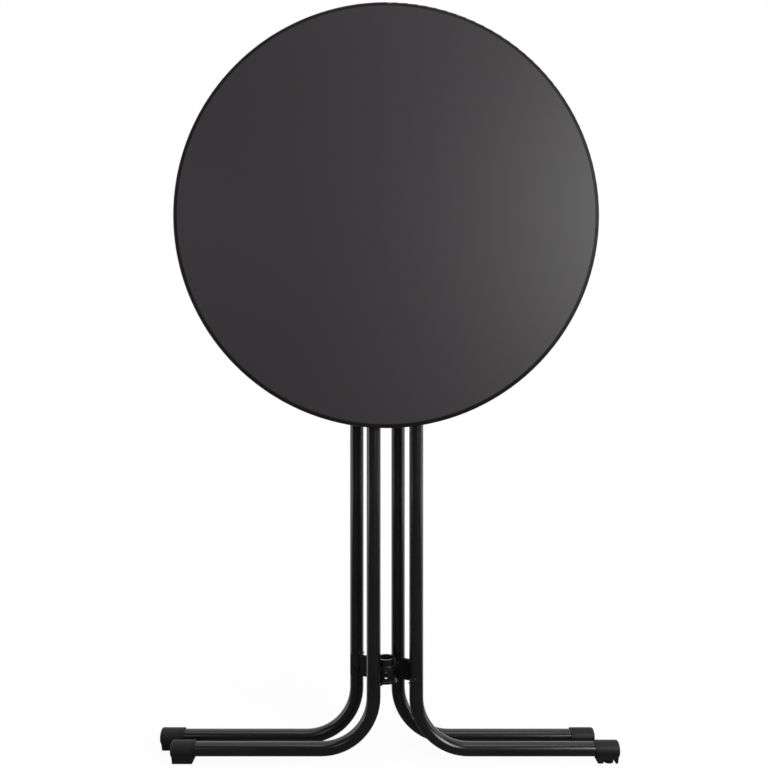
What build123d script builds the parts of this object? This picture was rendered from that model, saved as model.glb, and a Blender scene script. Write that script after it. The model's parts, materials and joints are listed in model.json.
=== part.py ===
from build123d import *

import math
import os

os.makedirs("parts", exist_ok=True)

# Folding bar table, standing folded: the round board hangs upright in front of a column of four bent tubes.
# Millimetres, +Z up, the board faces -Y, the origin is on the floor under the middle of the whole object.
# The outer pair of legs stands still. The inner pair turns about the column, so that the feet make a cross.

# Board
board_diameter = 800.0
board_thickness = 16.0
laminate_thickness = 0.8
edge_width = 8.0
edge_front_round = 6.0
edge_back_round = 4.0
tongue_depth = 6.0
tongue_thickness = 2.5

# Height of the open table, and how far the board's underside stays from the hinge axis
table_height = 1109.0
hinge_drop = 51.0

# Leg tubes and their places about the column
tube_diameter = 27.0
tube_wall = 2.0
bend_radius = 100.0
foot_axis_height = 24.5
foot_reach = 388.0
outer_leg_x = 58.0
inner_leg_x = 24.0
leg_row_y = 27.5

# Clearances
fit_gap = 0.1
running_gap = 0.06
face_play = 0.2
rubber_gap = 0.3
overrun = 2.0

# Foot caps
cap_radius = 16.0
cap_length = 46.0
cap_solid_length = 28.0
cap_block_width = 30.0
cap_block_inset = 0.8
cap_end_round = 4.0
cap_taper_angle = 7.0
cap_sole_round = 1.5
cap_lip_length = 3.5
cap_groove_width = 1.6
cap_groove_depth = 0.8
cap_lift = 1.0

# Adjustable foot under the front right cap
glide_inset = 20.0
glide_diameter = 20.0
glide_height = 6.5
glide_round = 1.5
glide_flute_diameter = 2.4
glide_flute_count = 14
glide_room = 2.0
stud_diameter = 8.0
stud_top = 28.0
stud_clearance = 0.5
stud_chamfer = 0.8
leveller_nut_flats = 13.0
leveller_nut_height = 6.5

# Hub, low between the legs
hub_bottom = 150.0
hub_ring_height = 22.0
hub_strap_height = 41.0
hub_ring_wall = 3.0
hub_sleeve_diameter = 36.0
hub_sleeve_wall = 3.7
hub_sleeve_rise = 14.0
hub_plate_thickness = 4.0
hub_plate_rim = 4.0
hub_lug_width = 22.0
hub_washer_thickness = 0.8
hub_strap_clearance = 2.0
strap_thickness = 4.5
strap_leg_angle = 118.0
strap_start_angle = 6.0
saddle_thickness = 3.0
saddle_start_angle = 40.0
saddle_sweep_angle = 90.0
hub_slot_width = 7.0
hub_slot_length = 14.0
hub_bolt_diameter = 6.0
hub_bolt_angle = 70.0
hub_bolt_head_diameter = 10.0
hub_bolt_head_height = 2.2
hub_bolt_head_round = 1.8
hub_bolt_tail = 1.5
hub_nut_flats = 10.0
hub_nut_height = 4.0

# Head of the column, under the board
head_drop = 20.0
head_plate_thickness = 5.0
head_plate_rim_x = 3.0
head_plate_rim_y = 0.5
head_plate_corner = 14.0
thrust_thickness = 5.8
thrust_diameter = 40.0
inner_plate_thickness = 5.0
pivot_diameter = 10.0
pivot_head_diameter = 18.0
pivot_head_height = 5.0
pivot_head_round = 1.5
pivot_nut_flats = 17.0
pivot_nut_height = 8.0
pivot_tail = 2.0
cheek_x = 46.0
cheek_thickness = 5.0
cheek_radius = 20.0
cheek_foot_width = 44.0

# Cross tube that the board tilts on
cross_tube_diameter = 25.0
cross_tube_wall = 1.5
plug_head_diameter = 31.0
plug_head_thickness = 4.0
plug_head_round = 1.5
plug_length = 16.0
plug_side_play = 0.5

# Brackets and bushes between the board and the cross tube
bracket_x = 195.0
bracket_web_thickness = 4.0
bracket_web_radius = 20.0
bracket_web_foot = 96.0
bracket_flange_width = 44.0
bracket_flange_length = 130.0
bracket_flange_thickness = 4.0
bracket_flange_corner = 6.0
bracket_screw_inset = 10.0
boss_wall = 3.0
bush_wall = 2.0
bush_length = 24.0

# Pan-head screws into the board
screw_diameter = 4.5
screw_depth = 13.0
screw_tip_chamfer = 1.2
screw_head_diameter = 8.6
screw_head_height = 2.6
screw_head_round = 1.2
screw_cross_length = 5.0
screw_cross_width = 1.1
screw_cross_depth = 1.2

# Lock: a quadrant on the cross tube and a sliding bolt in a housing under the board
quadrant_x = 95.0
quadrant_thickness = 4.0
quadrant_radius = 44.0
quadrant_hub_wall = 6.0
quadrant_margin_angle = 12.0
lock_radius = 34.0
lock_bolt_diameter = 8.0
lock_hole_gap = 0.3
lock_tip_gap = 0.6
lock_tip_chamfer = 1.0
lock_travel = 8.0
housing_gap = 4.0
housing_length = 32.0
housing_width = 22.0
housing_wall = 4.0
housing_corner = 4.0
housing_flange_thickness = 4.0
housing_flange_length = 56.0
lock_screw_inset = 6.5
knob_gap = 7.0
knob_length = 12.0
knob_diameter = 18.0
knob_bore_depth = 8.0
knob_round = 1.5
knob_flute_count = 12
knob_flute_diameter = 2.4

# Rubber stop that the upright board leans on
bumper_inset = 115.0
bumper_diameter = 18.0
bumper_round = 1.5
bumper_recess_diameter = 10.0
bumper_recess_depth = 4.0

# Worked out from the sizes above
tube_radius = tube_diameter / 2
tube_bore_radius = tube_radius - tube_wall
inner_leg_radius = math.hypot(inner_leg_x, leg_row_y)
inner_leg_angle = math.degrees(math.atan2(leg_row_y, inner_leg_x))
hinge_height = table_height - board_thickness - hinge_drop
axis_y = (hinge_drop + board_thickness - leg_row_y - cap_radius) / 2
underside_y = axis_y - hinge_drop
rim_radius = board_diameter / 2
core_radius = rim_radius - edge_width
cross_tube_radius = cross_tube_diameter / 2
cross_tube_half = bracket_x + bush_length / 2 + plug_side_play

head_top = hinge_height - head_drop
head_bottom = head_top - head_plate_thickness
inner_plate_top = head_bottom - thrust_thickness - face_play
inner_plate_bottom = inner_plate_top - inner_plate_thickness
pivot_nut_top = inner_plate_bottom - face_play
pivot_end = pivot_nut_top - pivot_nut_height - pivot_tail

ring_top = hub_bottom + hub_ring_height
sleeve_radius = hub_sleeve_diameter / 2
ring_bore_radius = sleeve_radius + running_gap
ring_radius = ring_bore_radius + hub_ring_wall
plate_rim_radius = sleeve_radius + hub_plate_rim
washer_room = hub_washer_thickness + face_play
lower_plate_bottom = hub_bottom - washer_room - hub_plate_thickness
upper_plate_bottom = ring_top + washer_room
sleeve_top = upper_plate_bottom + hub_plate_thickness + hub_sleeve_rise
hub_bolt_height = hub_bottom + hub_ring_height / 2
saddle_radius = tube_radius + saddle_thickness

tube_insert_reach = foot_reach - cap_solid_length
glide_x = outer_leg_x + foot_reach - glide_inset
front_row_y = axis_y - leg_row_y
nut_seat_height = glide_height + glide_room

quadrant_end = quadrant_x + quadrant_thickness
housing_start = quadrant_end + housing_gap
housing_end = housing_start + housing_length
housing_top = lock_radius - lock_bolt_diameter / 2 - housing_wall
lock_tip_x = quadrant_end + lock_tip_gap
knob_start = housing_end + knob_gap + lock_travel
bush_radius = cross_tube_radius + running_gap + bush_wall
boss_radius = bush_radius + boss_wall

bumper_height = hinge_drop - leg_row_y - tube_radius - rubber_gap
bumper_seat = bumper_height - bumper_recess_depth
screw_hole_radius = screw_diameter / 2 + fit_gap
bracket_screw_x = bracket_flange_width / 2 - bracket_screw_inset
bracket_screw_z = bracket_flange_length / 2 - bracket_screw_inset
lock_screw_x = housing_start + housing_length / 2
lock_screw_z = housing_flange_length / 2 - lock_screw_inset
bumper_places = [(outer_leg_x, bumper_inset - rim_radius)]
lock_screw_places = [(lock_screw_x, along * lock_screw_z) for along in (-1, 1)]
bracket_screw_places = [
    (side * bracket_x + across * bracket_screw_x, along * bracket_screw_z)
    for side in (-1, 1)
    for across in (-1, 1)
    for along in (-1, 1)
]
all_screw_places = bracket_screw_places + lock_screw_places + bumper_places

# Name of each leg, its foot's side in X, its row's side in Y, its distance in X and its top
legs = (
    ("outer_leg_rear", -1, 1, outer_leg_x, head_bottom),
    ("outer_leg_front", 1, -1, outer_leg_x, head_bottom),
    ("inner_leg_front", -1, -1, inner_leg_x, inner_plate_bottom),
    ("inner_leg_rear", 1, 1, inner_leg_x, inner_plate_bottom),
)

# Name of each foot cap, its side in X, its row's side in Y, its leg's distance in X and its lift off the floor
caps = (
    ("foot_cap_rear_left", -1, 1, outer_leg_x, 0),
    ("foot_cap_front_right", 1, -1, outer_leg_x, cap_lift),
    ("foot_cap_front_left", -1, -1, inner_leg_x, 0),
    ("foot_cap_rear_right", 1, 1, inner_leg_x, 0),
)

# Name of each group of screws, their places on the board and how far behind it their heads sit
screw_groups = (
    ("bracket_screws", bracket_screw_places, bracket_flange_thickness),
    ("lock_housing_screws", lock_screw_places, housing_flange_thickness),
    ("bumper_screw", bumper_places, bumper_seat),
)


def polar(radius, angle):
    """X and Y of a point at this angle in degrees from +X."""
    return radius * math.cos(math.radians(angle)), radius * math.sin(math.radians(angle))


def column_plane(height):
    """A level plane on the column axis."""
    return Plane((0, axis_y, height))


def board_plane(depth):
    """A plane along the upright board, this far in front of its underside, facing the viewer."""
    return Plane((0, underside_y - depth, hinge_height), x_dir=(1, 0, 0), z_dir=(0, -1, 0))


def hinge_plane(x):
    """A plane across the hinge axis: its x runs to the rear and its y runs up."""
    return Plane((x, axis_y, hinge_height), x_dir=(0, 1, 0), z_dir=(1, 0, 0))


def bolt_plane(side, reach):
    """A plane across the hub bolt of the right or left outer leg, this far from the leg towards the nut."""
    aim_x, aim_y = polar(side, hub_bolt_angle)
    leg_y = axis_y - side * leg_row_y
    origin = (side * outer_leg_x + reach * aim_x, leg_y + reach * aim_y, hub_bolt_height)
    return Plane(origin, x_dir=(0, 0, 1), z_dir=(aim_x, aim_y, 0))


# Leg tubes, one bend each
for name, side_x, side_y, leg_x, leg_top in legs:
    row_y = axis_y + side_y * leg_row_y
    with BuildPart() as leg:
        with BuildLine(Plane((0, row_y, 0), x_dir=(1, 0, 0), z_dir=(0, -1, 0))):
            FilletPolyline(
                (side_x * leg_x, leg_top),
                (side_x * leg_x, foot_axis_height),
                (side_x * (leg_x + tube_insert_reach), foot_axis_height),
                radius=bend_radius,
            )
        with BuildSketch(Plane((side_x * leg_x, row_y, leg_top), z_dir=(0, 0, -1))):
            Circle(tube_radius)
            Circle(tube_bore_radius, mode=Mode.SUBTRACT)
        sweep()
        if leg_x == outer_leg_x:
            with BuildSketch(bolt_plane(side_x, 0)):
                Circle(hub_bolt_diameter / 2 + fit_gap)
            extrude(amount=tube_radius + overrun, both=True, mode=Mode.SUBTRACT)
    leg.part.label = name
    export_step(leg.part, f"parts/{name}.step")

# Foot caps: a tapered block under a round sleeve, solid beyond the end of the tube
for name, side_x, side_y, leg_x, lift in caps:
    row_y = axis_y + side_y * leg_row_y
    cap_end = side_x * (leg_x + foot_reach)
    cap_middle = cap_end - side_x * cap_length / 2
    bore_end = cap_end - side_x * cap_solid_length
    tube_axis = Axis((cap_end, row_y, foot_axis_height), (1, 0, 0))
    with BuildPart() as cap:
        with BuildSketch(Plane((cap_middle, row_y, foot_axis_height))):
            RectangleRounded(cap_length - 2 * cap_block_inset, cap_block_width, cap_end_round)
        extrude(amount=lift - foot_axis_height, taper=cap_taper_angle)
        fillet(cap.edges().group_by(Axis.Z)[0], cap_sole_round)
        with BuildSketch(Plane((cap_end, row_y, foot_axis_height), x_dir=(-side_x, 0, 0), z_dir=(0, side_x, 0))):
            with Locations((cap_length / 2, cap_radius / 2)):
                Rectangle(cap_length, cap_radius)
            fillet(vertices().group_by(Axis.X)[0].sort_by(Axis.Y)[-1], cap_end_round)
            with Locations((cap_length - cap_lip_length - cap_groove_width / 2, cap_radius)):
                Rectangle(cap_groove_width, 2 * cap_groove_depth, mode=Mode.SUBTRACT)
        revolve(axis=tube_axis)
        with BuildSketch(Plane((bore_end, row_y, foot_axis_height), z_dir=(-side_x, 0, 0))):
            Circle(tube_radius + fit_gap)
        extrude(amount=cap_length, mode=Mode.SUBTRACT)
        if lift:
            with BuildSketch(Plane((glide_x, row_y, 0))):
                Rectangle(glide_diameter + 2 * glide_room, 2 * cap_radius + overrun)
            extrude(amount=nut_seat_height, mode=Mode.SUBTRACT)
            with BuildSketch(Plane((glide_x, row_y, nut_seat_height))):
                RegularPolygon(leveller_nut_flats / 2 + fit_gap, 6, major_radius=False, rotation=30)
            extrude(amount=leveller_nut_height + fit_gap, mode=Mode.SUBTRACT)
            with BuildSketch(Plane((glide_x, row_y, nut_seat_height))):
                Circle(stud_diameter / 2 + stud_clearance)
            extrude(amount=stud_top + stud_clearance - nut_seat_height, mode=Mode.SUBTRACT)
    cap.part.label = name
    export_step(cap.part, f"parts/{name}.step")

# Adjustable foot: a nut held in the cap, a threaded stud and a fluted glide
with BuildPart() as leveller_nut:
    with BuildSketch(Plane((glide_x, front_row_y, nut_seat_height))):
        RegularPolygon(leveller_nut_flats / 2, 6, major_radius=False, rotation=30)
        Circle(stud_diameter / 2 + running_gap, mode=Mode.SUBTRACT)
    extrude(amount=leveller_nut_height)
leveller_nut.part.label = "leveller_nut"
export_step(leveller_nut.part, "parts/leveller_nut.step")

with BuildPart() as leveller_stud:
    with BuildSketch(Plane((glide_x, front_row_y, glide_height + fit_gap))):
        Circle(stud_diameter / 2)
    extrude(amount=stud_top - glide_height - fit_gap)
    chamfer(leveller_stud.edges().sort_by(Axis.Z)[-1], stud_chamfer)
leveller_stud.part.label = "leveller_stud"
export_step(leveller_stud.part, "parts/leveller_stud.step")

with BuildPart() as leveller_glide:
    with BuildSketch(Plane((glide_x, front_row_y, 0))):
        Circle(glide_diameter / 2)
    extrude(amount=glide_height)
    fillet(leveller_glide.edges().sort_by(Axis.Z)[0], glide_round)
    with BuildSketch(Plane((glide_x, front_row_y, 0))):
        with PolarLocations(glide_diameter / 2, glide_flute_count):
            Circle(glide_flute_diameter / 2)
    extrude(amount=glide_height, mode=Mode.SUBTRACT)
leveller_glide.part.label = "leveller_glide"
export_step(leveller_glide.part, "parts/leveller_glide.step")

# Hub bracket of the outer pair: a ring on the column axis, with a tall strap and a saddle to each leg
strap_start = polar(ring_radius - hub_ring_wall / 2, strap_start_angle)
strap_reach = polar(tube_radius + saddle_thickness / 2, strap_leg_angle)
strap_end = (outer_leg_x + strap_reach[0], strap_reach[1] - leg_row_y)
strap_turn = math.degrees(math.atan2(strap_end[1] - strap_start[1], strap_end[0] - strap_start[0]))
strap_middle = ((strap_start[0] + strap_end[0]) / 2, (strap_start[1] + strap_end[1]) / 2)
with BuildPart() as hub_bracket:
    for half_turn in (0, 180):
        with BuildSketch(Plane((0, axis_y, hub_bottom), x_dir=(*polar(1, half_turn), 0), z_dir=(0, 0, 1))):
            with BuildLine():
                inner_arc = CenterArc((outer_leg_x, -leg_row_y), tube_radius + fit_gap,
                                      saddle_start_angle, saddle_sweep_angle)
                outer_arc = CenterArc((outer_leg_x, -leg_row_y), saddle_radius,
                                      saddle_start_angle, saddle_sweep_angle)
                Line(inner_arc @ 0, outer_arc @ 0)
                Line(inner_arc @ 1, outer_arc @ 1)
            make_face()
            with Locations(strap_middle):
                Rectangle(math.dist(strap_start, strap_end), strap_thickness, rotation=strap_turn)
            with Locations((outer_leg_x, -leg_row_y)):
                Circle(tube_radius + fit_gap, mode=Mode.SUBTRACT)
        extrude(amount=hub_strap_height)
    with BuildSketch(column_plane(ring_top)):
        Circle(plate_rim_radius + hub_strap_clearance)
    extrude(amount=hub_strap_height, mode=Mode.SUBTRACT)
    with BuildSketch(column_plane(hub_bottom)):
        Circle(ring_radius)
    extrude(amount=hub_ring_height)
    with BuildSketch(column_plane(hub_bottom)):
        Circle(ring_bore_radius)
    extrude(amount=hub_ring_height, mode=Mode.SUBTRACT)
    with BuildSketch(Plane((0, axis_y, hub_bolt_height), x_dir=(1, 0, 0), z_dir=(0, -1, 0))):
        SlotOverall(hub_slot_length, hub_slot_width, rotation=90)
    extrude(amount=ring_radius + overrun, both=True, mode=Mode.SUBTRACT)
    for side in (-1, 1):
        with BuildSketch(bolt_plane(side, 0)):
            Circle(hub_bolt_diameter / 2 + fit_gap)
        extrude(amount=saddle_radius + overrun, mode=Mode.SUBTRACT)
hub_bracket.part.label = "hub_bracket"
export_step(hub_bracket.part, "parts/hub_bracket.step")

with BuildPart() as hub_bolts:
    for side in (-1, 1):
        with BuildSketch(bolt_plane(side, -tube_radius)):
            Circle(hub_bolt_head_diameter / 2)
        extrude(amount=-hub_bolt_head_height)
        fillet(faces().sort_by(Axis.Y)[0 if side > 0 else -1].edges(), hub_bolt_head_round)
        with BuildSketch(bolt_plane(side, -tube_radius)):
            Circle(hub_bolt_diameter / 2)
        extrude(amount=tube_radius + saddle_radius + hub_nut_height + hub_bolt_tail)
hub_bolts.part.label = "hub_bolts"
export_step(hub_bolts.part, "parts/hub_bolts.step")

with BuildPart() as hub_nuts:
    for side in (-1, 1):
        with BuildSketch(bolt_plane(side, saddle_radius)):
            RegularPolygon(hub_nut_flats / 2, 6, major_radius=False)
            Circle(hub_bolt_diameter / 2 + fit_gap, mode=Mode.SUBTRACT)
        extrude(amount=hub_nut_height)
hub_nuts.part.label = "hub_nuts"
export_step(hub_nuts.part, "parts/hub_nuts.step")

# Hub of the inner pair: a hollow sleeve that turns in the ring, and two plates that carry the tubes
with BuildPart() as hub_sleeve:
    with BuildSketch(column_plane(lower_plate_bottom)):
        Circle(sleeve_radius)
        Circle(sleeve_radius - hub_sleeve_wall, mode=Mode.SUBTRACT)
    extrude(amount=sleeve_top - lower_plate_bottom)
    with BuildSketch(Plane((0, axis_y, hub_bolt_height), x_dir=(1, 0, 0), z_dir=(0, -1, 0))):
        SlotOverall(hub_slot_length, hub_slot_width, rotation=90)
    extrude(amount=ring_radius + overrun, both=True, mode=Mode.SUBTRACT)
hub_sleeve.part.label = "hub_sleeve"
export_step(hub_sleeve.part, "parts/hub_sleeve.step")

for name, plate_bottom in (("hub_plate_lower", lower_plate_bottom), ("hub_plate_upper", upper_plate_bottom)):
    with BuildPart() as hub_plate:
        with BuildSketch(column_plane(plate_bottom)):
            Rectangle(2 * inner_leg_radius, hub_lug_width, rotation=inner_leg_angle)
            Circle(plate_rim_radius)
            Circle(sleeve_radius + fit_gap, mode=Mode.SUBTRACT)
            with PolarLocations(inner_leg_radius, 2, start_angle=inner_leg_angle):
                Circle(tube_radius + fit_gap, mode=Mode.SUBTRACT)
        extrude(amount=hub_plate_thickness)
    hub_plate.part.label = name
    export_step(hub_plate.part, f"parts/{name}.step")

with BuildPart() as hub_washers:
    for washer_bottom in (hub_bottom - washer_room, upper_plate_bottom - hub_washer_thickness):
        with BuildSketch(column_plane(washer_bottom)):
            Circle(ring_radius)
            Circle(sleeve_radius + fit_gap, mode=Mode.SUBTRACT)
        extrude(amount=hub_washer_thickness)
hub_washers.part.label = "hub_washers"
export_step(hub_washers.part, "parts/hub_washers.step")

# Head of the outer pair: a plate on the tube tops, and two cheeks that hold the cross tube
with BuildPart() as head_plate:
    with BuildSketch(column_plane(head_bottom)):
        RectangleRounded(
            2 * (outer_leg_x + tube_radius + head_plate_rim_x),
            2 * (leg_row_y + tube_radius + head_plate_rim_y),
            head_plate_corner,
        )
        Circle(pivot_diameter / 2 + fit_gap, mode=Mode.SUBTRACT)
    extrude(amount=head_plate_thickness)
head_plate.part.label = "head_plate"
export_step(head_plate.part, "parts/head_plate.step")

with BuildPart() as head_cheeks:
    for side in (-1, 1):
        with BuildSketch(hinge_plane(side * cheek_x)):
            Circle(cheek_radius)
            with Locations((0, cheek_thickness / 2 - head_drop)):
                Rectangle(cheek_foot_width, cheek_thickness)
            make_hull()
            with Locations((0, -head_drop - cheek_radius)):
                Rectangle(2 * cheek_foot_width, 2 * cheek_radius, mode=Mode.SUBTRACT)
            Circle(cross_tube_radius + fit_gap, mode=Mode.SUBTRACT)
        extrude(amount=cheek_thickness / 2, both=True)
head_cheeks.part.label = "head_cheeks"
export_step(head_cheeks.part, "parts/head_cheeks.step")

# Top plate of the inner pair, and the thrust washer between the two plates
with BuildPart() as inner_head_plate:
    with BuildSketch(column_plane(inner_plate_bottom)):
        SlotCenterToCenter(2 * inner_leg_radius, tube_diameter, rotation=inner_leg_angle)
        Circle(pivot_diameter / 2 + running_gap, mode=Mode.SUBTRACT)
    extrude(amount=inner_plate_thickness)
inner_head_plate.part.label = "inner_head_plate"
export_step(inner_head_plate.part, "parts/inner_head_plate.step")

with BuildPart() as thrust_washer:
    with BuildSketch(column_plane(head_bottom - thrust_thickness)):
        Circle(thrust_diameter / 2)
        Circle(pivot_diameter / 2 + fit_gap, mode=Mode.SUBTRACT)
    extrude(amount=thrust_thickness)
thrust_washer.part.label = "thrust_washer"
export_step(thrust_washer.part, "parts/thrust_washer.step")

# Pivot bolt through both plates, and its nut
with BuildPart() as pivot_bolt:
    with BuildSketch(column_plane(head_top)):
        Circle(pivot_head_diameter / 2)
    extrude(amount=pivot_head_height)
    fillet(pivot_bolt.edges().sort_by(Axis.Z)[-1], pivot_head_round)
    with BuildSketch(column_plane(pivot_end)):
        Circle(pivot_diameter / 2)
    extrude(amount=head_top - pivot_end)
pivot_bolt.part.label = "pivot_bolt"
export_step(pivot_bolt.part, "parts/pivot_bolt.step")

with BuildPart() as pivot_nut:
    with BuildSketch(column_plane(pivot_nut_top - pivot_nut_height)):
        RegularPolygon(pivot_nut_flats / 2, 6, major_radius=False)
        Circle(pivot_diameter / 2 + fit_gap, mode=Mode.SUBTRACT)
    extrude(amount=pivot_nut_height)
pivot_nut.part.label = "pivot_nut"
export_step(pivot_nut.part, "parts/pivot_nut.step")

# Cross tube, and its end plugs, whose heads keep the board from sliding sideways
with BuildPart() as cross_tube:
    with BuildSketch(hinge_plane(-cross_tube_half)):
        Circle(cross_tube_radius)
        Circle(cross_tube_radius - cross_tube_wall, mode=Mode.SUBTRACT)
    extrude(amount=2 * cross_tube_half)
cross_tube.part.label = "cross_tube"
export_step(cross_tube.part, "parts/cross_tube.step")

with BuildPart() as cross_tube_plugs:
    for side in (-1, 1):
        with BuildSketch(hinge_plane(side * cross_tube_half)):
            Circle(plug_head_diameter / 2)
        extrude(amount=side * plug_head_thickness)
        fillet(edges().sort_by(Axis.X)[-1 if side > 0 else 0], plug_head_round)
        with BuildSketch(hinge_plane(side * cross_tube_half)):
            Circle(cross_tube_radius - cross_tube_wall - fit_gap)
        extrude(amount=-side * plug_length)
cross_tube_plugs.part.label = "cross_tube_plugs"
export_step(cross_tube_plugs.part, "parts/cross_tube_plugs.step")

# Board: core, two laminate sheets and an edge trim whose tongue sits in the core's groove
radial_plane = Plane((0, underside_y, hinge_height), x_dir=(1, 0, 0), z_dir=(0, 0, -1))
board_axis = Axis((0, underside_y, hinge_height), (0, -1, 0))
with BuildPart() as board_core:
    with BuildSketch(board_plane(laminate_thickness)):
        Circle(core_radius - fit_gap)
    extrude(amount=board_thickness - 2 * laminate_thickness)
    with BuildSketch(radial_plane):
        with Locations((core_radius, board_thickness / 2)):
            Rectangle(2 * (tongue_depth + fit_gap), tongue_thickness + 2 * fit_gap)
    revolve(axis=board_axis, mode=Mode.SUBTRACT)
    with BuildSketch(board_plane(0)):
        with Locations(*all_screw_places):
            Circle(screw_hole_radius)
    extrude(amount=screw_depth + fit_gap, mode=Mode.SUBTRACT)
board_core.part.label = "board_core"
export_step(board_core.part, "parts/board_core.step")

with BuildPart() as backing_laminate:
    with BuildSketch(board_plane(0)):
        Circle(core_radius - fit_gap)
        with Locations(*all_screw_places):
            Circle(screw_hole_radius, mode=Mode.SUBTRACT)
    extrude(amount=laminate_thickness)
backing_laminate.part.label = "backing_laminate"
export_step(backing_laminate.part, "parts/backing_laminate.step")

with BuildPart() as top_laminate:
    with BuildSketch(board_plane(board_thickness - laminate_thickness)):
        Circle(core_radius - fit_gap)
    extrude(amount=laminate_thickness)
top_laminate.part.label = "top_laminate"
export_step(top_laminate.part, "parts/top_laminate.step")

with BuildPart() as edge_trim:
    with BuildSketch(radial_plane):
        with Locations((rim_radius - edge_width / 2, board_thickness / 2)):
            Rectangle(edge_width, board_thickness)
        fillet(vertices().group_by(Axis.X)[-1].sort_by(Axis.Y)[0], edge_back_round)
        fillet(vertices().group_by(Axis.X)[-1].sort_by(Axis.Y)[-1], edge_front_round)
        with Locations((core_radius - tongue_depth / 2, board_thickness / 2)):
            Rectangle(tongue_depth, tongue_thickness)
    revolve(axis=board_axis)
edge_trim.part.label = "edge_trim"
export_step(edge_trim.part, "parts/edge_trim.step")

# Hinge brackets: a flange on the board, a web and a boss round the bush
for name, side in (("hinge_bracket_left", -1), ("hinge_bracket_right", 1)):
    middle = side * bracket_x
    with BuildPart() as hinge_bracket:
        with BuildSketch(board_plane(-bracket_flange_thickness)):
            with Locations((middle, 0)):
                RectangleRounded(bracket_flange_width, bracket_flange_length, bracket_flange_corner)
            with Locations(*[place for place in bracket_screw_places if place[0] * side > 0]):
                Circle(screw_hole_radius, mode=Mode.SUBTRACT)
        extrude(amount=bracket_flange_thickness)
        with BuildSketch(hinge_plane(middle)):
            Circle(bracket_web_radius)
            with Locations((bracket_flange_thickness / 2 - hinge_drop, 0)):
                Rectangle(bracket_flange_thickness, bracket_web_foot)
            make_hull()
        extrude(amount=bracket_web_thickness / 2, both=True)
        with BuildSketch(hinge_plane(middle)):
            Circle(boss_radius)
        extrude(amount=bush_length / 2, both=True)
        with BuildSketch(hinge_plane(middle)):
            Circle(bush_radius + fit_gap)
        extrude(amount=bush_length, both=True, mode=Mode.SUBTRACT)
    hinge_bracket.part.label = name
    export_step(hinge_bracket.part, f"parts/{name}.step")

with BuildPart() as hinge_bushes:
    for side in (-1, 1):
        with BuildSketch(hinge_plane(side * bracket_x)):
            Circle(bush_radius)
            Circle(cross_tube_radius + running_gap, mode=Mode.SUBTRACT)
        extrude(amount=bush_length / 2, both=True)
hinge_bushes.part.label = "hinge_bushes"
export_step(hinge_bushes.part, "parts/hinge_bushes.step")

# Pan-head screws with a cross recess, for the brackets, the lock housing and the rubber stop
for name, places, seat in screw_groups:
    with BuildPart() as screws:
        with BuildSketch(board_plane(-seat)):
            with Locations(*places):
                Circle(screw_diameter / 2)
        extrude(amount=seat + screw_depth)
        chamfer(screws.edges().group_by(Axis.Y)[0], screw_tip_chamfer)
        with BuildSketch(board_plane(-seat)):
            with Locations(*places):
                Circle(screw_head_diameter / 2)
        extrude(amount=-screw_head_height)
        fillet(screws.edges().group_by(Axis.Y)[-1], screw_head_round)
        with BuildSketch(board_plane(-seat - screw_head_height)):
            with Locations(*places):
                Rectangle(screw_cross_length, screw_cross_width)
                Rectangle(screw_cross_width, screw_cross_length)
        extrude(amount=screw_cross_depth, mode=Mode.SUBTRACT)
    screws.part.label = name
    export_step(screws.part, f"parts/{name}.step")

# Lock quadrant on the cross tube, with one hole for each position of the board
with BuildPart() as lock_quadrant:
    with BuildSketch(hinge_plane(quadrant_x)):
        with BuildLine():
            quadrant_rim = CenterArc((0, 0), quadrant_radius, 90 - quadrant_margin_angle,
                                     90 + 2 * quadrant_margin_angle)
            Line((0, 0), quadrant_rim @ 0)
            Line((0, 0), quadrant_rim @ 1)
        make_face()
        Circle(cross_tube_radius + quadrant_hub_wall)
        Circle(cross_tube_radius + fit_gap, mode=Mode.SUBTRACT)
        with Locations((-lock_radius, 0), (0, lock_radius)):
            Circle(lock_bolt_diameter / 2 + lock_hole_gap, mode=Mode.SUBTRACT)
    extrude(amount=quadrant_thickness)
lock_quadrant.part.label = "lock_quadrant"
export_step(lock_quadrant.part, "parts/lock_quadrant.step")

# Lock housing under the board, with a flange for two screws and a bore for the bolt
with BuildPart() as lock_housing:
    with BuildSketch(board_plane(-housing_flange_thickness)):
        with Locations((lock_screw_x, 0)):
            RectangleRounded(housing_length, housing_flange_length, housing_corner)
        with Locations(*lock_screw_places):
            Circle(screw_hole_radius, mode=Mode.SUBTRACT)
    extrude(amount=housing_flange_thickness)
    with BuildSketch(hinge_plane(housing_start)):
        with Locations((-(hinge_drop + housing_top) / 2, 0)):
            Rectangle(hinge_drop - housing_top, housing_width)
        fillet(vertices().group_by(Axis.X)[-1], housing_corner)
        with Locations((-lock_radius, 0)):
            Circle(lock_bolt_diameter / 2 + running_gap, mode=Mode.SUBTRACT)
    extrude(amount=housing_length)
lock_housing.part.label = "lock_housing"
export_step(lock_housing.part, "parts/lock_housing.step")

# Sliding lock bolt and its fluted knob
with BuildPart() as lock_bolt:
    with BuildSketch(hinge_plane(lock_tip_x)):
        with Locations((-lock_radius, 0)):
            Circle(lock_bolt_diameter / 2)
    extrude(amount=knob_start + knob_bore_depth - lock_tip_x)
    chamfer(lock_bolt.edges().sort_by(Axis.X)[0], lock_tip_chamfer)
lock_bolt.part.label = "lock_bolt"
export_step(lock_bolt.part, "parts/lock_bolt.step")

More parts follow.
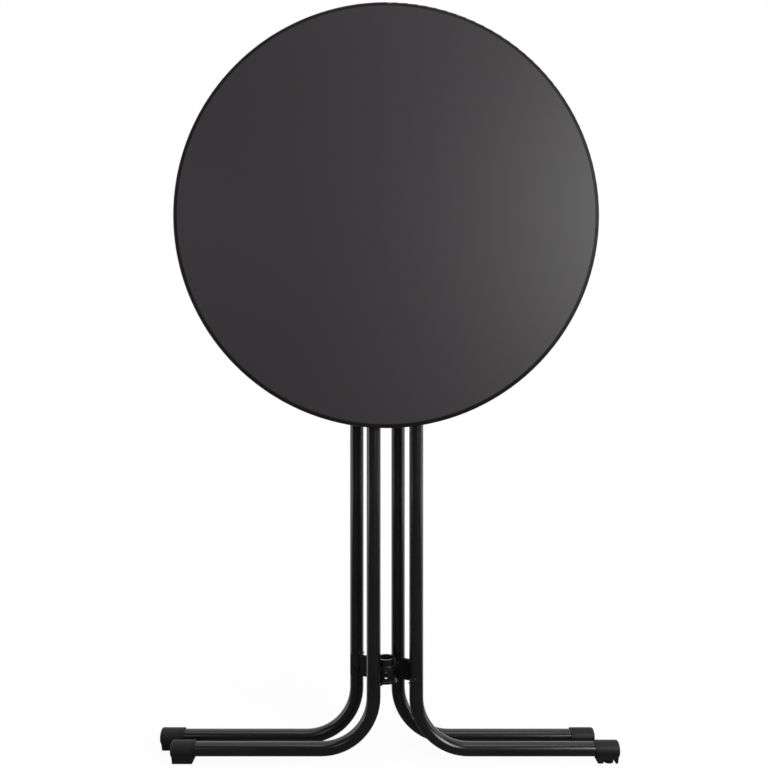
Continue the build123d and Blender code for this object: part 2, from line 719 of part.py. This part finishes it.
with BuildPart() as lock_knob:
    with BuildSketch(hinge_plane(knob_start)):
        with Locations((-lock_radius, 0)):
            Circle(knob_diameter / 2)
    extrude(amount=knob_length)
    fillet(lock_knob.edges().filter_by(GeomType.CIRCLE), knob_round)
    with BuildSketch(hinge_plane(knob_start)):
        with Locations((-lock_radius, 0)):
            with PolarLocations(knob_diameter / 2, knob_flute_count):
                Circle(knob_flute_diameter / 2)
    extrude(amount=knob_length, mode=Mode.SUBTRACT)
    with BuildSketch(hinge_plane(knob_start)):
        with Locations((-lock_radius, 0)):
            Circle(lock_bolt_diameter / 2 + fit_gap)
    extrude(amount=knob_bore_depth + fit_gap, mode=Mode.SUBTRACT)
lock_knob.part.label = "lock_knob"
export_step(lock_knob.part, "parts/lock_knob.step")

# Rubber stop, which leans on the front outer leg when the board hangs upright
with BuildPart() as rest_bumper:
    with BuildSketch(board_plane(-bumper_height)):
        with Locations(*bumper_places):
            Circle(bumper_diameter / 2)
    extrude(amount=bumper_height)
    fillet(rest_bumper.edges().group_by(Axis.Y)[-1], bumper_round)
    with BuildSketch(board_plane(-bumper_height)):
        with Locations(*bumper_places):
            Circle(bumper_recess_diameter / 2)
    extrude(amount=bumper_recess_depth, mode=Mode.SUBTRACT)
    with BuildSketch(board_plane(-bumper_height)):
        with Locations(*bumper_places):
            Circle(screw_hole_radius)
    extrude(amount=bumper_height, mode=Mode.SUBTRACT)
rest_bumper.part.label = "rest_bumper"
export_step(rest_bumper.part, "parts/rest_bumper.step")
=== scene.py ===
import json
import math

import bmesh
import bpy
from mathutils import Matrix, Vector

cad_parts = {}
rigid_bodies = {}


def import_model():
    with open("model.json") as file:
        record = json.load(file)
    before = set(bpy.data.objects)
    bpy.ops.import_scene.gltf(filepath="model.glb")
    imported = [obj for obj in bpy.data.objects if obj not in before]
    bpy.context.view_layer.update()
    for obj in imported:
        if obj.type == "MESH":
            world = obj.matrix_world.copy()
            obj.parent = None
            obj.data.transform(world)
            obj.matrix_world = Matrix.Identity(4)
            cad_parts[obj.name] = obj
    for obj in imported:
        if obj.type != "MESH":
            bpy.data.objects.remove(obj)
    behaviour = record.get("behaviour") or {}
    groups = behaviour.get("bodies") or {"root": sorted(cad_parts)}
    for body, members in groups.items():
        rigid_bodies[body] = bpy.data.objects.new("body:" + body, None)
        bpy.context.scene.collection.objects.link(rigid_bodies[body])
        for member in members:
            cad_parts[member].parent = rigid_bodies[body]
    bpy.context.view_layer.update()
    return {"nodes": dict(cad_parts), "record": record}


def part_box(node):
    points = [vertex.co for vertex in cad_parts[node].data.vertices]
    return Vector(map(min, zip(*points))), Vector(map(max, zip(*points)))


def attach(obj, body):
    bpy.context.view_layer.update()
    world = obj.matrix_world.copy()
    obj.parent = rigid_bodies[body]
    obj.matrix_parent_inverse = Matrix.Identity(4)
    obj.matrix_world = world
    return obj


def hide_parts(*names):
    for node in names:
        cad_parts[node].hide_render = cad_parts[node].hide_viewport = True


for leftover in list(bpy.data.objects):
    bpy.data.objects.remove(leftover)

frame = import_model()
cad = frame["nodes"]

MM = 0.001
FULL_TURN = 2 * math.pi

# How the meshes of the solids are smoothed: nearby corners join, and edges sharper than this stay crisp
JOIN_DISTANCE = 0.002 * MM
CRISP_ANGLE = math.radians(32)
NEW_PIECE_JOIN = 0.001 * MM

# Sizes of the solids that their boxes don't give
CHEEK_WALL = 5.0 * MM
CHEEK_BEAD_INSET = 2.0 * MM
BRACKET_WEB_HALF = 2.0 * MM
BRACKET_FOOT_HALF = 46.0 * MM
BRACKET_FLANGE = 4.0 * MM
SADDLE_BEAD_OFFSET = 0.5 * MM
THREAD_PITCH = 1.25 * MM
THREAD_DEPTH = 0.65 * MM
THREAD_SIDES = 32

# Weld beads: spacing and depth of their ripples, mesh steps, half angles about a leg in degrees
RIPPLE_PITCH = 1.8 * MM
RIPPLE_DEPTH = 0.13
BEAD_STEP = 0.45 * MM
BEAD_SIDES = 10
SADDLE_BEAD_HALF = 34
LUG_BEAD_HALF = 48
INNER_TOP_BEAD_HALF = 80

# Studio, in metres, and how bright its unlit surfaces look in reflections
FLOOR_RADIUS = 14
COVE_RADIUS = 4.2
COVE_HEIGHT = 7.0
COVE_LEVEL = 0.07
APRON_WIDTH = 6.0
APRON_DEPTH = 4.2
APRON_Y = -1.9
APRON_LEVEL = 0.1

# Camera at the photograph's place
PHOTO_SIDE = 768
PHOTO_ROWS_DOWN = 9
SENSOR_WIDTH = 36
LENS = 37.90
CAMERA_X = -0.004
CAMERA_DISTANCE = 1.580
CAMERA_HEIGHT = 0.742


# Shader maths: a value in a node tree, so that expressions add its Math nodes

class Value:
    """A socket of a node tree that plain arithmetic works on."""

    def __init__(self, tree, socket):
        self.tree = tree
        self.socket = socket

    def math(self, operation, first, second):
        return add_node(self.tree, "ShaderNodeMath", {"operation": operation}, {0: first, 1: second})

    def __add__(self, other):
        return self.math("ADD", self, other)

    def __radd__(self, other):
        return self.math("ADD", other, self)

    def __sub__(self, other):
        return self.math("SUBTRACT", self, other)

    def __rsub__(self, other):
        return self.math("SUBTRACT", other, self)

    def __mul__(self, other):
        return self.math("MULTIPLY", self, other)

    def __rmul__(self, other):
        return self.math("MULTIPLY", other, self)


def add_node(tree, kind, settings, sockets, output=0):
    """Adds a node, sets it up, fills or links its sockets, and returns one of its outputs."""
    node = tree.nodes.new(kind)
    for name, value in settings.items():
        if name == "stops":
            for index, (place, color) in enumerate(value):
                stop = node.color_ramp.elements[index] if index < 2 else node.color_ramp.elements.new(place)
                stop.position = place
                stop.color = (*color, 1)
        else:
            setattr(node, name, value)
    for name, value in sockets.items():
        if isinstance(value, Value):
            tree.links.new(value.socket, node.inputs[name])
        else:
            node.inputs[name].default_value = value
    return Value(tree, node.outputs[output])


class Finish:
    """A material of the table, built round one Principled shader."""

    def __init__(self, name, constants):
        self.material = bpy.data.materials.new(name)
        self.material.use_nodes = True
        self.tree = self.material.node_tree
        self.shader = self.tree.nodes["Principled BSDF"]
        for socket, value in constants.items():
            self.shader.inputs[socket].default_value = value
        self.place = add_node(self.tree, "ShaderNodeTexCoord", {}, {}, output="Object")

    def noise(self, scale, detail=2.0):
        """Noise from 0 to 1, with this many features to the metre."""
        return add_node(self.tree, "ShaderNodeTexNoise", {},
                        {"Vector": self.place, "Scale": scale, "Detail": detail, "Roughness": 0.5})

    def base(self, factor, low, high):
        """Base colour that runs from one colour to another with a factor."""
        self.feed("Base Color", self.ramp(factor, [(0.3, low), (0.7, high)]))

    def specks(self, scale):
        """Distance to the nearest of scattered points."""
        return add_node(self.tree, "ShaderNodeTexVoronoi", {}, {"Vector": self.place, "Scale": scale})

    def ramp(self, factor, stops):
        return add_node(self.tree, "ShaderNodeValToRGB", {"stops": stops}, {"Fac": factor})

    def feed(self, socket, value):
        self.tree.links.new(value.socket, self.shader.inputs[socket])

    def bump(self, height, strength, depth):
        """Raises the surface by a height, to a depth in metres."""
        self.feed("Normal", add_node(self.tree, "ShaderNodeBump", {},
                                     {"Strength": strength, "Distance": depth, "Height": height}))


def grey(level, warm=0.0):
    """A near-neutral colour: positive is warmer and negative cooler."""
    return (level * (1 + warm), level, level * (1 - warm))


def plum_grey(level):
    """The laminate's grey, which leans a little to purple."""
    return (level * 1.2, level, level * 1.15)


def powder_coat():
    """Gloss black powder coat on the steel, with the faint orange peel of a sprayed film."""
    finish = Finish("black_powder_coat", {
        "Specular IOR Level": 0.42, "Coat Weight": 0.25, "Coat Roughness": 0.08})
    cloud = finish.noise(9)
    peel = finish.noise(520, detail=1.5)
    finish.base(cloud, grey(0.0030, -0.03), grey(0.0050, -0.02))
    finish.feed("Roughness", 0.2 + finish.noise(60) * 0.09)
    finish.bump(peel, 0.1, 0.12 * MM)
    return finish.material


def cap_polymer():
    """Matte black moulded plastic with a fine spark-eroded grain."""
    finish = Finish("black_cap_plastic", {"Specular IOR Level": 0.3})
    finish.base(finish.noise(40), grey(0.004), grey(0.006))
    finish.feed("Roughness", 0.46 + finish.noise(90) * 0.14)
    finish.bump(finish.noise(2600, detail=1.0) * 0.6 + finish.specks(1700) * 0.4, 0.25, 0.08 * MM)
    return finish.material


def board_laminate():
    """Satin anthracite laminate with a very fine pearl grain."""
    finish = Finish("anthracite_laminate", {"Specular IOR Level": 0.5})
    fine = finish.noise(1500, detail=1.0)
    cloud = finish.noise(3.2, detail=1.0)
    tone = cloud * 0.35 + fine * 0.65
    finish.feed("Base Color", finish.ramp(tone, [(0.25, plum_grey(0.0125)), (0.75, plum_grey(0.0155))]))
    finish.feed("Roughness", 0.4 + fine * 0.08)
    finish.bump(fine, 0.12, 0.05 * MM)
    return finish.material


def edge_polymer():
    """Satin dark edge of the board, darker than its face."""
    finish = Finish("dark_edge_plastic", {"Specular IOR Level": 0.2})
    finish.base(finish.noise(25), grey(0.0035, 0.03), grey(0.0055, 0.03))
    finish.feed("Roughness", 0.44 + finish.noise(120) * 0.1)
    finish.bump(finish.noise(900), 0.08, 0.06 * MM)
    return finish.material


def particle_board():
    """Pressed wood chips, pale brown."""
    finish = Finish("particle_board", {"Roughness": 0.85})
    chips = finish.specks(420)
    finish.feed("Base Color", finish.ramp(chips * 0.7 + finish.noise(180) * 0.4, [
        (0.1, (0.16, 0.09, 0.045)), (0.45, (0.36, 0.24, 0.13)), (0.85, (0.52, 0.39, 0.24))]))
    finish.bump(chips, 0.5, 0.3 * MM)
    return finish.material


def zinc_plate(name, low, high, metal):
    """Plated steel of small fasteners, with a soft bloom."""
    finish = Finish(name, {"Metallic": metal})
    bloom = finish.noise(220)
    finish.base(bloom, low, high)
    finish.feed("Roughness", 0.26 + finish.noise(700) * 0.16)
    finish.bump(finish.noise(1800), 0.12, 0.04 * MM)
    return finish.material


def nylon(name, low, high):
    """Nylon of the washers and bushes."""
    finish = Finish(name, {"Specular IOR Level": 0.5})
    finish.base(finish.noise(80), low, high)
    finish.feed("Roughness", 0.42 + finish.noise(300) * 0.12)
    finish.bump(finish.noise(1200), 0.1, 0.05 * MM)
    return finish.material


def soft_rubber():
    """Matte black rubber with a dusty bloom."""
    finish = Finish("black_rubber", {"Specular IOR Level": 0.3})
    finish.base(finish.noise(150), grey(0.010), grey(0.018))
    finish.feed("Roughness", 0.72 + finish.noise(400) * 0.15)
    finish.bump(finish.specks(1500), 0.3, 0.08 * MM)
    return finish.material


finishes = {
    "leg_paint": powder_coat(),
    "cap_plastic": cap_polymer(),
    "board_face": board_laminate(),
    "edge_plastic": edge_polymer(),
    "core_board": particle_board(),
    "zinc_steel": zinc_plate("bright_zinc", (0.42, 0.43, 0.44), (0.56, 0.57, 0.58), 1.0),
    "nylon": nylon("natural_nylon", (0.56, 0.54, 0.49), (0.66, 0.64, 0.59)),
    "bumper_rubber": soft_rubber(),
}
black_zinc = zinc_plate("black_zinc", grey(0.012), grey(0.024), 0.6)
dark_pieces = {
    "hub_bolts": black_zinc,
    "hub_nuts": black_zinc,
    "hub_washers": nylon("dark_nylon", grey(0.035), grey(0.05)),
}

for subpart in frame["record"]["subparts"]:
    node = cad[subpart["node"]]
    node.data.materials.clear()
    node.data.materials.append(dark_pieces.get(subpart["node"], finishes[subpart["material_slot"]]))
    for face in node.data.polygons:
        face.use_smooth = True
    weld = node.modifiers.new("joined_faces", "WELD")
    weld.merge_threshold = JOIN_DISTANCE
    crease = node.modifiers.new("crisp_edges", "EDGE_SPLIT")
    crease.split_angle = CRISP_ANGLE


# Pieces that the solids leave out: weld beads and the thread of the adjustable foot

def make_piece(shape, name, body, slot):
    """Turns a finished bmesh into a piece that rides on a body."""
    bmesh.ops.remove_doubles(shape, verts=shape.verts, dist=NEW_PIECE_JOIN)
    bmesh.ops.recalc_face_normals(shape, faces=shape.faces)
    mesh = bpy.data.meshes.new(name)
    shape.to_mesh(mesh)
    shape.free()
    mesh.materials.append(finishes[slot])
    for face in mesh.polygons:
        face.use_smooth = True
    piece = bpy.data.objects.new(name, mesh)
    bpy.context.scene.collection.objects.link(piece)
    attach(piece, body)
    return piece


def bead_round(shape, centre, radius, start, sweep, thickness):
    """Adds a level, rippled weld bead about a centre, from a start angle through a sweep, in degrees."""
    closed = sweep >= 360
    ring = bmesh.new()
    bmesh.ops.create_circle(ring, cap_ends=False, radius=thickness, segments=BEAD_SIDES)
    bmesh.ops.rotate(ring, verts=ring.verts, cent=(0, 0, 0), matrix=Matrix.Rotation(math.pi / 2, 3, "X"))
    bmesh.ops.translate(ring, verts=ring.verts, vec=(radius, 0, 0))
    bmesh.ops.rotate(ring, verts=ring.verts, cent=(0, 0, 0),
                     matrix=Matrix.Rotation(math.radians(start), 3, "Z"))
    steps = max(12, round(math.radians(sweep) * radius / BEAD_STEP))
    bmesh.ops.spin(ring, geom=ring.verts[:] + ring.edges[:], cent=(0, 0, 0), axis=(0, 0, 1), dvec=(0, 0, 0),
                   angle=math.radians(sweep), steps=steps, use_merge=closed, use_duplicate=False)
    ripples = round(FULL_TURN * radius / RIPPLE_PITCH)
    for vert in ring.verts:
        angle = math.atan2(vert.co.y, vert.co.x)
        middle = Vector((radius * math.cos(angle), radius * math.sin(angle), 0))
        vert.co = middle + (vert.co - middle) * (1 + RIPPLE_DEPTH * math.sin(ripples * angle))
    if not closed:
        bmesh.ops.holes_fill(ring, edges=[edge for edge in ring.edges if edge.is_boundary], sides=0)
    bmesh.ops.translate(ring, verts=ring.verts, vec=centre)
    merge_in(shape, ring)


def bead_along(shape, start, end, thickness):
    """Adds a straight, rippled weld bead between two points."""
    start, end = Vector(start), Vector(end)
    run = end - start
    steps = max(8, round(run.length / BEAD_STEP))
    bar = bmesh.new()
    bmesh.ops.create_circle(bar, cap_ends=True, radius=thickness, segments=BEAD_SIDES)
    rim = [edge for edge in bar.edges if edge.is_boundary] or bar.edges[:]
    for step in range(steps):
        grown = bmesh.ops.extrude_edge_only(bar, edges=rim)["geom"]
        verts = [item for item in grown if isinstance(item, bmesh.types.BMVert)]
        rim = [item for item in grown if isinstance(item, bmesh.types.BMEdge)]
        bmesh.ops.translate(bar, verts=verts, vec=(0, 0, run.length / steps))
    bmesh.ops.holes_fill(bar, edges=[edge for edge in bar.edges if edge.is_boundary], sides=0)
    ripple = FULL_TURN / RIPPLE_PITCH
    for vert in bar.verts:
        swell = 1 + RIPPLE_DEPTH * math.sin(ripple * vert.co.z)
        vert.co = Vector((vert.co.x * swell, vert.co.y * swell, vert.co.z))
    turn = run.to_track_quat("Z", "Y").to_matrix()
    bmesh.ops.rotate(bar, verts=bar.verts, cent=(0, 0, 0), matrix=turn)
    bmesh.ops.translate(bar, verts=bar.verts, vec=start)
    merge_in(shape, bar)


def merge_in(shape, addition):
    """Copies one bmesh into another and frees it."""
    scratch = bpy.data.meshes.new("scratch")
    addition.to_mesh(scratch)
    addition.free()
    shape.from_mesh(scratch)
    bpy.data.meshes.remove(scratch)


column_y = sum(corner.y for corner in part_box("hub_sleeve")) / 2
tube_radius = (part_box("outer_leg_front")[1].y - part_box("outer_leg_front")[0].y) / 2


def leg_place(name):
    """X and Y of a leg's upright run."""
    low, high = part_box(name)
    towards_left = abs(low.x) > abs(high.x)
    edge = high.x - tube_radius if towards_left else low.x + tube_radius
    return edge, (low.y + high.y) / 2


def bead_facing(shape, leg_x, leg_y, height, radius, half_angle, thickness):
    """Adds a bead round the side of a leg that faces the column, this many degrees to either side."""
    aim = math.degrees(math.atan2(column_y - leg_y, -leg_x))
    bead_round(shape, (leg_x, leg_y, height), radius, aim - half_angle, 2 * half_angle, thickness)


# Weld beads of the outer pair: tube tops, cheeks and saddles
outer_beads = bmesh.new()
plate_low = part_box("head_plate")[0].z
plate_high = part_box("head_plate")[1].z
for leg in ("outer_leg_rear", "outer_leg_front"):
    leg_x, leg_y = leg_place(leg)
    bead_round(outer_beads, (leg_x, leg_y, plate_low - 0.5 * MM), tube_radius, 0, 360, 1.0 * MM)
    for height in (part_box("hub_bracket")[0].z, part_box("hub_bracket")[1].z):
        bead_facing(outer_beads, leg_x, leg_y, height, tube_radius + SADDLE_BEAD_OFFSET,
                    SADDLE_BEAD_HALF, 0.9 * MM)
cheek_low, cheek_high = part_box("head_cheeks")
for cheek_x in (cheek_low.x, cheek_high.x - CHEEK_WALL):
    for side_x in (cheek_x, cheek_x + CHEEK_WALL):
        bead_along(outer_beads, (side_x, cheek_low.y + CHEEK_BEAD_INSET, plate_high),
                   (side_x, cheek_high.y - CHEEK_BEAD_INSET, plate_high), 1.2 * MM)
make_piece(outer_beads, "outer_weld_beads", "outer_frame", "leg_paint")

# Weld beads of the inner pair: hub sleeve, tube walls and top plate
inner_beads = bmesh.new()
sleeve_low, sleeve_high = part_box("hub_sleeve")
sleeve_radius = (sleeve_high.x - sleeve_low.x) / 2
upper_plate_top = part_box("hub_plate_upper")[1].z
lower_plate_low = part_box("hub_plate_lower")[0].z
for height in (upper_plate_top, lower_plate_low):
    bead_round(inner_beads, (0, column_y, height), sleeve_radius, 0, 360, 0.8 * MM)
for leg in ("inner_leg_front", "inner_leg_rear"):
    leg_x, leg_y = leg_place(leg)
    for height in (upper_plate_top, lower_plate_low):
        bead_facing(inner_beads, leg_x, leg_y, height, tube_radius, LUG_BEAD_HALF, 0.8 * MM)
    bead_facing(inner_beads, leg_x, leg_y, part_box("inner_head_plate")[0].z - 0.4 * MM, tube_radius,
                INNER_TOP_BEAD_HALF, 0.9 * MM)
make_piece(inner_beads, "inner_weld_beads", "inner_frame", "leg_paint")

# Weld beads of the hinge brackets, where the webs meet the flanges
for bracket in ("hinge_bracket_left", "hinge_bracket_right"):
    low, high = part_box(bracket)
    middle_x = (low.x + high.x) / 2
    middle_z = (low.z + high.z) / 2
    flange_back = low.y + BRACKET_FLANGE
    beads = bmesh.new()
    for web_x in (middle_x - BRACKET_WEB_HALF, middle_x + BRACKET_WEB_HALF):
        bead_along(beads, (web_x, flange_back, middle_z - BRACKET_FOOT_HALF),
                   (web_x, flange_back, middle_z + BRACKET_FOOT_HALF), 1.3 * MM)
    make_piece(beads, bracket + "_weld_beads", "table_top", "leg_paint")


def thread_of(node, pitch, depth):
    """A threaded rod in the place of a plain stud."""
    low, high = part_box(node)
    radius = (high.x - low.x) / 2
    turns = int((high.z - low.z) / pitch)
    shape = bmesh.new()
    outline = [(0, low.z), (radius - depth, low.z)]
    for turn in range(turns):
        base = low.z + (high.z - low.z) * turn / turns
        step = (high.z - low.z) / turns
        crest = [(radius, base + 0.4 * step), (radius, base + 0.6 * step)]
        outline += crest + [(radius - depth, base + step)]
    outline.append((0, high.z))
    verts = [shape.verts.new((out, 0, up)) for out, up in outline]
    edges = [shape.edges.new(pair) for pair in zip(verts, verts[1:])]
    bmesh.ops.spin(shape, geom=verts + edges, cent=(0, 0, 0), axis=(0, 0, 1), dvec=(0, 0, 0),
                   angle=FULL_TURN, steps=THREAD_SIDES, use_merge=True, use_duplicate=False)
    bmesh.ops.translate(shape, verts=shape.verts, vec=((low.x + high.x) / 2, (low.y + high.y) / 2, 0))
    return shape


thread = thread_of("leveller_stud", THREAD_PITCH, THREAD_DEPTH)
stud = make_piece(thread, "stud_thread", "leveller", "zinc_steel")
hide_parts("leveller_stud")


# Studio: floor, background, lamps and the camera at the photograph's place

def camera_sees(tree):
    """1 where the background is seen directly, in a reflection or through glass."""
    path = tree.nodes.new("ShaderNodeLightPath")
    rays = ("Is Camera Ray", "Is Glossy Ray", "Is Transmission Ray")
    camera, glossy, transmitted = [Value(tree, path.outputs[name]) for name in rays]
    seen = camera + glossy + transmitted
    return seen.math("MINIMUM", seen, 1.0)


world = bpy.data.worlds.new("studio")
bpy.context.scene.world = world
world.use_nodes = True
sky = world.node_tree
sky.nodes.clear()
soft_fill = add_node(sky, "ShaderNodeBackground", {}, {"Color": (1, 1, 1, 1), "Strength": 0.7})
white = add_node(sky, "ShaderNodeBackground", {}, {"Color": (1, 1, 1, 1), "Strength": 1.0})
both = add_node(sky, "ShaderNodeMixShader", {}, {0: camera_sees(sky), 1: soft_fill, 2: white})
sky_output = sky.nodes.new("ShaderNodeOutputWorld")
sky.links.new(both.socket, sky_output.inputs["Surface"])

floor_shape = bmesh.new()
bmesh.ops.create_circle(floor_shape, cap_ends=True, radius=FLOOR_RADIUS, segments=96)
floor_mesh = bpy.data.meshes.new("floor")
floor_shape.to_mesh(floor_mesh)
floor_shape.free()
floor = bpy.data.objects.new("floor", floor_mesh)
bpy.context.scene.collection.objects.link(floor)
floor_material = bpy.data.materials.new("pale_floor")
floor_material.use_nodes = True
ground = floor_material.node_tree
ground.nodes.clear()
lit = add_node(ground, "ShaderNodeBsdfDiffuse", {}, {"Color": (0.9, 0.9, 0.9, 1)})
glow = add_node(ground, "ShaderNodeEmission", {}, {"Color": (1, 1, 1, 1), "Strength": 1.0})
centre_distance = add_node(ground, "ShaderNodeVectorMath", {"operation": "LENGTH"}, {
    0: add_node(ground, "ShaderNodeTexCoord", {}, {}, output="Object")}, output="Value")
whiteness = add_node(ground, "ShaderNodeMapRange", {}, {
    "Value": centre_distance, "From Min": 0.5, "From Max": 1.8, "To Min": 0.93, "To Max": 1.0})
blend = add_node(ground, "ShaderNodeMixShader", {}, {0: camera_sees(ground) * whiteness, 1: lit, 2: glow})
ground_output = ground.nodes.new("ShaderNodeOutputMaterial")
ground.links.new(blend.socket, ground_output.inputs["Surface"])
floor_mesh.materials.append(floor_material)


def flag(name, shape, level):
    """A dim surface that only reflections see, as the dark side of a studio is."""
    mesh = bpy.data.meshes.new(name)
    shape.to_mesh(mesh)
    shape.free()
    made = bpy.data.objects.new(name, mesh)
    bpy.context.scene.collection.objects.link(made)
    material = bpy.data.materials.new(name)
    material.use_nodes = True
    tree = material.node_tree
    tree.nodes.clear()
    dim = add_node(tree, "ShaderNodeEmission", {}, {"Color": (1, 1, 1, 1), "Strength": level})
    output = tree.nodes.new("ShaderNodeOutputMaterial")
    tree.links.new(dim.socket, output.inputs["Surface"])
    mesh.materials.append(material)
    made.visible_camera = False
    made.visible_diffuse = False
    made.visible_shadow = False
    made.visible_transmission = False


# A half-round wall in front, so that only the outermost edges of the tubes catch the white studio
cove_shape = bmesh.new()
cove_edge = [cove_shape.verts.new((-COVE_RADIUS, 0, height)) for height in (0, COVE_HEIGHT)]
bmesh.ops.spin(cove_shape, geom=cove_edge + [cove_shape.edges.new(cove_edge)], cent=(0, 0, 0), axis=(0, 0, 1),
               dvec=(0, 0, 0), angle=math.pi, steps=48, use_merge=False, use_duplicate=False)
flag("front_cove", cove_shape, COVE_LEVEL)

# A darker stretch of floor between the table and the viewer, seen in the undersides of the tubes
apron_shape = bmesh.new()
bmesh.ops.create_grid(apron_shape, x_segments=1, y_segments=1, size=0.5)
bmesh.ops.scale(apron_shape, verts=apron_shape.verts, vec=(APRON_WIDTH, APRON_DEPTH, 1))
bmesh.ops.translate(apron_shape, verts=apron_shape.verts, vec=(0, APRON_Y, 1 * MM))
flag("floor_apron", apron_shape, APRON_LEVEL)


def lamp(name, place, aim, width, height, power):
    """A soft rectangular lamp that points at a spot."""
    data = bpy.data.lights.new(name, "AREA")
    data.shape = "RECTANGLE"
    data.size = width
    data.size_y = height
    data.energy = power
    made = bpy.data.objects.new(name, data)
    bpy.context.scene.collection.objects.link(made)
    made.location = place
    made.rotation_mode = "QUATERNION"
    made.rotation_quaternion = (Vector(aim) - Vector(place)).to_track_quat("-Z", "Y")


lamp("left_strip", (-2.4, -0.1, 0.9), (0, 0, 0.8), 0.45, 2.2, 10)
lamp("right_strip", (2.4, -0.1, 0.9), (0, 0, 0.8), 0.45, 2.2, 10)
lamp("board_glow", (2.1, -2.7, 1.65), (0.2, 0, 1.05), 2.1, 1.4, 92)
lamp("left_fill", (-1.6, -3.0, 1.6), (-0.1, 0, 1.05), 1.0, 0.9, 5)
lamp("overhead", (0.2, -1.0, 3.0), (0, 0, 0.6), 1.6, 1.6, 9)

camera_data = bpy.data.cameras.new("photo_camera")
camera_data.sensor_width = SENSOR_WIDTH
camera_data.lens = LENS
camera_data.shift_y = -PHOTO_ROWS_DOWN / PHOTO_SIDE
camera = bpy.data.objects.new("photo_camera", camera_data)
bpy.context.scene.collection.objects.link(camera)
camera.location = (CAMERA_X, column_y - CAMERA_DISTANCE, CAMERA_HEIGHT)
camera.rotation_euler = (math.pi / 2, 0, 0)
bpy.context.scene.camera = camera
bpy.context.scene.view_settings.view_transform = "Standard"
